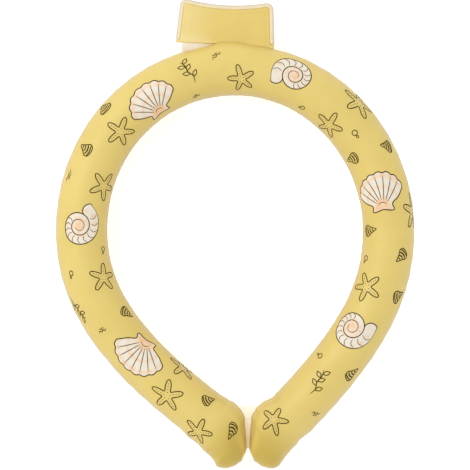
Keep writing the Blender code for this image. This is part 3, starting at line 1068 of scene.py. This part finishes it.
class NECKRING_OT_end_web(bpy.types.Operator):
    """Builds the clear web that joins the two closed ends"""

    bl_idname = "neckring.end_web"
    bl_label = "End web"

    def execute(self, context):
        tube, web, clear = context.scene.ring_tube, context.scene.ring_web, context.scene.ring_clear
        shares = np.linspace(1, -1, 31)
        top = bowed(shares, web.top_width / 2, 0, web.top_dip)
        foot = bowed(-shares, web.foot_half, -web.height, -web.bottom_arch)

        def middle(flat):
            across = np.clip(1 - np.square(flat[:, 0] / (web.top_width / 2 * SAG_SHARE)), 0, 1)
            return RIPPLE_HEIGHT * np.sin(flat[:, 1] / RIPPLE_REACH) - web.sag * across

        points, faces, flat, _ = sheet(
            evenly(np.vstack([top, foot]), OUTLINE_STEP, closed=True),
            OUTLINE_STEP,
            middle,
            half=lambda flat, away: film_half(web.film_thickness, away),
        )
        place = (tube.ends_shift, web.top_above_ends - tube.end_drop, tube.diameter / 2)
        # The web's glow is painted light.
        material = clear_film("clear_web", clear, clear.clear_color, web.opacity, web.painted_glow)
        piece = new_piece("end_web_film", points + place + tube_surface().shift, faces, material)
        # Painted shade and painted reflected yellow light, growing down the web.
        set_values(piece, warm=ramp(flat[:, 1], *WEB_WARMS))
        put_on_root(piece, "clear_film", "front_clear_web")
        return {"FINISHED"}


# The print's motifs, drawn in millimetres round their own middle. Each gives its fills, as an
# outline and its wash, and its lines, as a path, a weight and whether it is closed.


def curve_through(points, steps=8, closed=False):
    """A smooth line through a few points."""
    points = np.array(points, float)
    if closed:
        points = np.vstack([points[-2:], points, points[:3]])
    places = lengths_along(points)
    last = len(places) - 1
    dense = np.interp(np.arange(last * steps + 1) / steps, np.arange(last + 1), places)
    drawn = smooth_through(places, points, dense)
    return drawn[2 * steps : -2 * steps - 1] if closed else drawn


def reach_and_angle(points, middle):
    away = points - middle
    return np.linalg.norm(away, axis=1), np.arctan2(away[:, 1], away[:, 0])


def round_turn(count):
    """Angles all the way round."""
    return np.linspace(0, math.tau, count + 1)[:-1]


def scallop(ribs=8):
    """A ribbed fan shell standing on its hinge."""
    hinge = np.array((0.0, -8.3))
    spread = math.radians(60)

    def reach(u):
        return 15.2 * (0.78 + 0.22 * np.cos(1.2 * spread * (2 * u - 1)))

    def fan(u, r):
        return polar(hinge, r, math.pi / 2 + spread * (1 - 2 * u))

    place = np.linspace(0, 1, ribs * 8 + 1)
    edge = fan(place, reach(place) * (1 + 0.045 * np.abs(np.sin(math.pi * ribs * place))))
    right = curve_through([edge[-1], (7.6, -5.0), (4.4, -7.3), (4.9, -9.4), (0.0, -9.0)])[1:]
    outline = np.vstack([edge, right, right[-2::-1] * (-1, 1)])

    def wash(points):
        r, angle = reach_and_angle(points, hinge)
        u = (math.pi / 2 + spread - angle) / (2 * spread)
        deep = r / np.maximum(reach(np.clip(u, 0, 1)), 1)
        bands = 0.75 * bell(deep, 0.15, 0.22) + 0.50 * bell(deep, 0.62, 0.07) + 0.55 * bell(deep, 0.93, 0.08)
        return np.clip(bands + 0.12 * np.cos(math.tau * ribs * u), 0, 1)

    lines = [(outline, 1.0, True)]
    for k in range(1, ribs):
        u = np.full(12, k / ribs)
        lines.append((fan(u, reach(u) * np.linspace(0.24, 0.93, 12)), 0.72, False))
    arc = np.linspace(0.06, 0.94, 26)
    lines.append((fan(arc, reach(arc) * 0.17), 0.6, False))
    return [(outline, wash)], lines


def snail():
    """A round shell wound in a spiral, with an open lip."""
    growth = math.log(2.0) / math.tau
    last = math.radians(-35)
    middle = np.array((-0.9, 0.9))
    size = 10.4

    def wound(angle, share=1.0, turned=0.0):
        return polar(middle, size * np.exp(growth * (angle - last)) * share, angle - turned)

    outer = wound(np.linspace(last - math.tau, last, 72))
    lip_out, lip_in = outer[-1], outer[0]
    onward = np.array((-math.sin(last), math.cos(last)))
    across = unit_rows(lip_out - lip_in)
    knots = [
        lip_out,
        lip_out + onward * 1.3 + across * 0.5,
        lip_in + across * 2.6 + onward * 3.1,
        lip_in + across * 0.4 + onward * 1.9,
        lip_in,
    ]
    lip = curve_through(knots)

    def wash(points):
        r, angle = reach_and_angle(points, middle)
        winds = (last - angle) / math.tau - np.log(np.maximum(r, 0.3) / size) / math.log(2.0)
        across = winds % 1.0
        stripe = 0.5 + 0.5 * np.sin(13 * angle + 2.5 * across)
        return np.clip(0.55 * bell(across, 0.5, 0.28) * stripe + 0.55 * bell(r, 0, 3.6), 0, 1)

    whole = np.linspace(last - 2.6 * math.tau, last, 150)
    lines = [(wound(whole), 0.95, False), (lip, 0.95, False)]
    across_whorl = np.linspace(0.1, 0.86, 9)
    for k in range(11):
        rib = wound(last - 0.30 - k * 0.43, 1 - 0.5 * across_whorl, 0.22 * np.sin(math.pi * across_whorl))
        lines.append((rib, 0.6, False))
    return [(np.vstack([outer, lip[1:-1]]), wash)], lines


def starfish():
    """A five-armed star drawn in outline, with dots along its arms."""
    angle = round_turn(120)
    outline = polar((0, 0), 4.5 + 2.5 * np.cos(5 * angle) + 0.35 * np.cos(10 * angle), angle)
    lines = [(outline, 0.95, True)]
    for heading in round_turn(5):
        direction = (math.cos(heading), math.sin(heading))
        lines += [(np.outer((r - 0.16, r + 0.16), direction), 1.1, False) for r in (1.5, 2.9, 4.2, 5.4)]
    return [], lines


def weed():
    """A sprig of weed in outline: a bent stem with small leaves."""
    stem = curve_through([(-0.8, -6.6), (0.5, -3.4), (-0.3, 0.2), (0.6, 3.4), (0.2, 6.6)])
    lines = [(stem, 0.9, False)]
    for k, side in ((7, 1), (12, -1), (17, 1), (22, -1), (27, 1)):
        root = stem[k]
        tip = root + (side * 3.1, 2.4)
        upper = curve_through([root, root + (side * 1.0, 2.0), tip])
        lower = curve_through([tip, root + (side * 2.3, 0.6), root])
        lines.append((np.vstack([upper, lower[1:-1]]), 0.8, True))
    return [], lines


def top_shell():
    """A small pointed shell with dark bands."""
    half = [(0.8, 2.7), (1.7, 0.9), (2.9, -1.1), (2.5, -2.6)]
    knots = [(0, 4.3), *half, (0, -3.4), *[(-x, y) for x, y in reversed(half)]]
    lines = [(curve_through(knots, 6, closed=True), 0.9, True)]
    u = np.linspace(-1, 1, 11)
    for level, reach, width in ((2.5, 0.8, 0.9), (1.1, 1.5, 1.3), (-0.4, 2.3, 1.5), (-1.8, 2.6, 1.2)):
        lines.append((bowed(u, reach, level, 0.7) + side_by_side(0 * u, 0.25 * u), width, False))
    return [], lines


def bubbles():
    """Two small rings."""
    angle = round_turn(24)
    return [], [(polar((-0.5, 0.2), 1.15, angle), 0.8, True), (polar((1.3, -0.7), 0.55, angle), 0.7, True)]


def ripple():
    """A short wavy line over a shorter one."""
    u = np.linspace(-1, 1, 25)
    short = u[4:-4]
    upper = side_by_side(u * 2.6, 0.5 + 0.45 * np.sin(u * 7.5))
    lower = side_by_side(short * 2.2, -0.7 + 0.4 * np.sin(short * 7.5 + 1))
    return [], [(upper, 0.85, False), (lower, 0.75, False)]


class PrintLayer:
    """Thin closed sheets on the tube's surface, gathered into one mesh."""

    def __init__(self, printed, lift):
        self.lift, self.sink = lift, printed.sink
        self.points, self.faces, self.washes = [], [], []

    def add(self, places, faces):
        below = sum(len(points) for points in self.points)
        self.points += [tube_surface().at(places, self.lift), tube_surface().at(places, -self.sink)]
        self.faces += [tuple(below + k for k in face) for face in closed_sheet(faces, len(places))]

    def fill(self, outline, to_tube, wash):
        flat, triangles = filled(evenly(outline, WASH_EDGE_STEP, closed=True), WASH_STEP)
        self.add(to_tube(flat), triangles)
        self.washes += [wash(flat)] * 2

    def line(self, path, width, to_tube, closed):
        """A ribbon of this width, with narrowed ends where it is open."""
        path = evenly(path, LINE_STEP, closed)
        count = len(path)
        half = np.full(count, width / 2)
        if closed:
            side = left_of(np.vstack([path[-1:], path, path[:1]]))[1:-1]
        else:
            side = left_of(path)
            place = np.linspace(0, 1, count)
            half *= 0.45 + 0.55 * ramp(np.minimum(place, 1 - place), 0, 0.22)
        out = side * half[:, None]
        left, right = list(range(count)), list(range(count, 2 * count))
        self.add(to_tube(np.vstack([path + out, path - out])), faces_between(right, left, closed))

    def piece(self, name, material):
        made = new_piece(name, np.vstack(self.points), self.faces, material, smooth=False)
        if self.washes:
            set_values(made, wash=np.concatenate(self.washes))
        put_on_root(made)


Motif = namedtuple("Motif", "kind along around turn size reach")


def print_places(printed):
    """Every motif's place: large ones in rows, the rest thrown between them."""
    draw = random.Random(printed.seed)
    whole, girth = tube_surface().length, math.tau * tube_surface().radius
    placed = []

    def is_free(along, around, reach):
        for other in placed:
            sideways = abs(around - other.around) % girth
            sideways = min(sideways, girth - sideways)
            if math.hypot(along - other.along, sideways) < reach + other.reach:
                return False
        return True

    for row, round_share in enumerate(LARGE_ROWS):
        along = printed.first_large - row * printed.large_pitch / 3
        while along < whole - LARGE_MARGIN:
            kind = (scallop, snail)[(len(placed) + row) % 2]
            around = round_share * girth + draw.uniform(-STRAY, STRAY) * (row == 0)
            turn = draw.uniform(-2.6, 2.6)
            placed.append(Motif(kind, along, around, turn, draw.uniform(1.02, 1.14), LARGE_REACH))
            along += printed.large_pitch
    # How many are wanted, the reach of each, its smallest and largest size, and the tries
    thrown = (
        (starfish, 14, 0.0090, (0.94, 1.08), 4000),
        (weed, 8, 0.0084, (0.85, 1.0), 2500),
        (top_shell, 17, 0.0070, (0.9, 1.05), 4000),
        (ripple, 12, 0.0056, (0.85, 1.05), 2500),
        (bubbles, 16, 0.0052, (0.85, 1.15), 3000),
    )
    for kind, wanted, reach, sizes, tries in thrown:
        made = 0
        for _ in range(tries):
            along = draw.uniform(TIP_MARGIN, whole - TIP_MARGIN)
            around = draw.uniform(-girth / 2, girth / 2)
            turn = draw.uniform(-math.pi, math.pi)
            size = draw.uniform(*sizes)
            # No motif lies just where the tube turns away.
            near_end, elsewhere = STAR_BANDS if kind is starfish else SMALL_BANDS
            low, high = near_end if min(along, whole - along) < NEAR_END else elsewhere
            turns_away = low < abs(around) < high
            at_tab = abs(along - whole / 2) < TAB_KEEP_OFF and TAB_BAND[0] < around < TAB_BAND[1]
            if made < wanted and not turns_away and not at_tab and is_free(along, around, reach):
                placed.append(Motif(kind, along, around, turn, size, reach))
                made += 1
    return placed


class NECKRING_OT_print(bpy.types.Operator):
    """Prints the seashells on the tube: the washed shapes and the drawn lines"""

    bl_idname = "neckring.print"
    bl_label = "Print"

    def execute(self, context):
        printed = context.scene.ring_print
        washes, inks = PrintLayer(printed, printed.lift / 2), PrintLayer(printed, printed.lift)
        for motif in print_places(printed):
            scale = motif.size * MM
            cosine, sine = math.cos(motif.turn) * scale, math.sin(motif.turn) * scale

            def to_tube(flat):
                along = motif.along + flat[:, 0] * cosine - flat[:, 1] * sine
                return side_by_side(along, motif.around + flat[:, 0] * sine + flat[:, 1] * cosine)

            fills, lines = motif.kind()
            for outline, wash in fills:
                washes.fill(outline, to_tube, wash)
            for path, weight, closed in lines:
                inks.line(path, weight * printed.line_width / scale, to_tube, closed)
        washes.piece("shell_print_washes", print_wash(printed))
        inks.piece("shell_print_lines", print_ink(printed))
        return {"FINISHED"}


class NECKRING_OT_stage(bpy.types.Operator):
    """Sets up the pale floor, the soft light and the camera straight above"""

    bl_idname = "neckring.stage"
    bl_label = "Stage"

    def execute(self, context):
        scene, stage, tube = context.scene, context.scene.ring_stage, context.scene.ring_tube
        white = (1, 1, 1, 1)
        values = {
            "Roughness": 0.9,
            "Specular IOR Level": 0.1,
            "Emission Color": white,
            "Emission Strength": stage.floor_glow,
        }
        material, tree, sockets = new_shader("pale_floor", values)
        patches = {"patch_color": stage.patch_color, "patch_scale": 2.0, "amount": 0.1}
        tint = place_group(tree, soft_tint_group(), color=stage.floor_color, **patches)
        feed(tree, sockets["Base Color"], tint["Color"])
        reach, level = stage.floor_reach, -stage.floor_drop
        corners = [(x * reach, y * reach, level) for x, y in ((-1, -1), (1, -1), (1, 1), (-1, 1))]
        floor = new_piece("floor", corners, [(0, 1, 2, 3)], material)

        scene.world = bpy.data.worlds.new("soft_sky")
        scene.world.use_nodes = True
        sky = scene.world.node_tree.nodes["Background"]
        sky.inputs["Color"].default_value = white
        sky.inputs["Strength"].default_value = stage.sky

        lamp = bpy.data.lights.new("key_light", "AREA")
        lamp.energy = stage.key_power
        lamp.size = stage.key_size
        light = bpy.data.objects.new("key_light", lamp)
        light.location = KEY_LIGHT_PLACE
        light.rotation_mode = "QUATERNION"
        light.rotation_quaternion = light.location.to_track_quat("Z", "Y")
        scene.collection.objects.link(light)

        view = bpy.data.cameras.new("overhead_camera")
        view.sensor_width = 36
        view.lens = view.sensor_width * stage.camera_height / stage.view_width
        view.clip_end = 10
        camera = bpy.data.objects.new("overhead_camera", view)
        camera.location = (0.0, stage.camera_shift, tube.diameter / 2 + stage.camera_height)
        scene.collection.objects.link(camera)
        scene.camera = camera
        scene.view_settings.view_transform = "Standard"
        return {"FINISHED"}


OPERATORS = (
    NECKRING_OT_film_tube,
    NECKRING_OT_tab_panel,
    NECKRING_OT_tab_clear_films,
    NECKRING_OT_end_web,
    NECKRING_OT_print,
    NECKRING_OT_stage,
)


class NECKRING_PT_pieces(bpy.types.Panel):
    """Lists the ring's pieces in the sidebar"""

    bl_idname = "NECKRING_PT_pieces"
    bl_label = "Cooling neck ring"
    bl_space_type = "VIEW_3D"
    bl_region_type = "UI"
    bl_category = "Neck ring"

    def draw(self, context):
        for operator in OPERATORS:
            self.layout.operator(operator.bl_idname)
        for name, group in SETTINGS.items():
            box = self.layout.box()
            box.label(text=group.__doc__)
            for prop in group.__annotations__:
                box.prop(getattr(context.scene, name), prop)


def register():
    for cls in (*SETTINGS.values(), *OPERATORS, NECKRING_PT_pieces):
        bpy.utils.register_class(cls)
    for name, group in SETTINGS.items():
        setattr(bpy.types.Scene, name, PointerProperty(type=group))


def unregister():
    for name in SETTINGS:
        delattr(bpy.types.Scene, name)
    for cls in reversed((*SETTINGS.values(), *OPERATORS, NECKRING_PT_pieces)):
        bpy.utils.unregister_class(cls)


def main():
    register()
    for operator in OPERATORS:
        getattr(bpy.ops.neckring, operator.bl_idname.split(".")[1])()


if __name__ == "__main__":
    main()
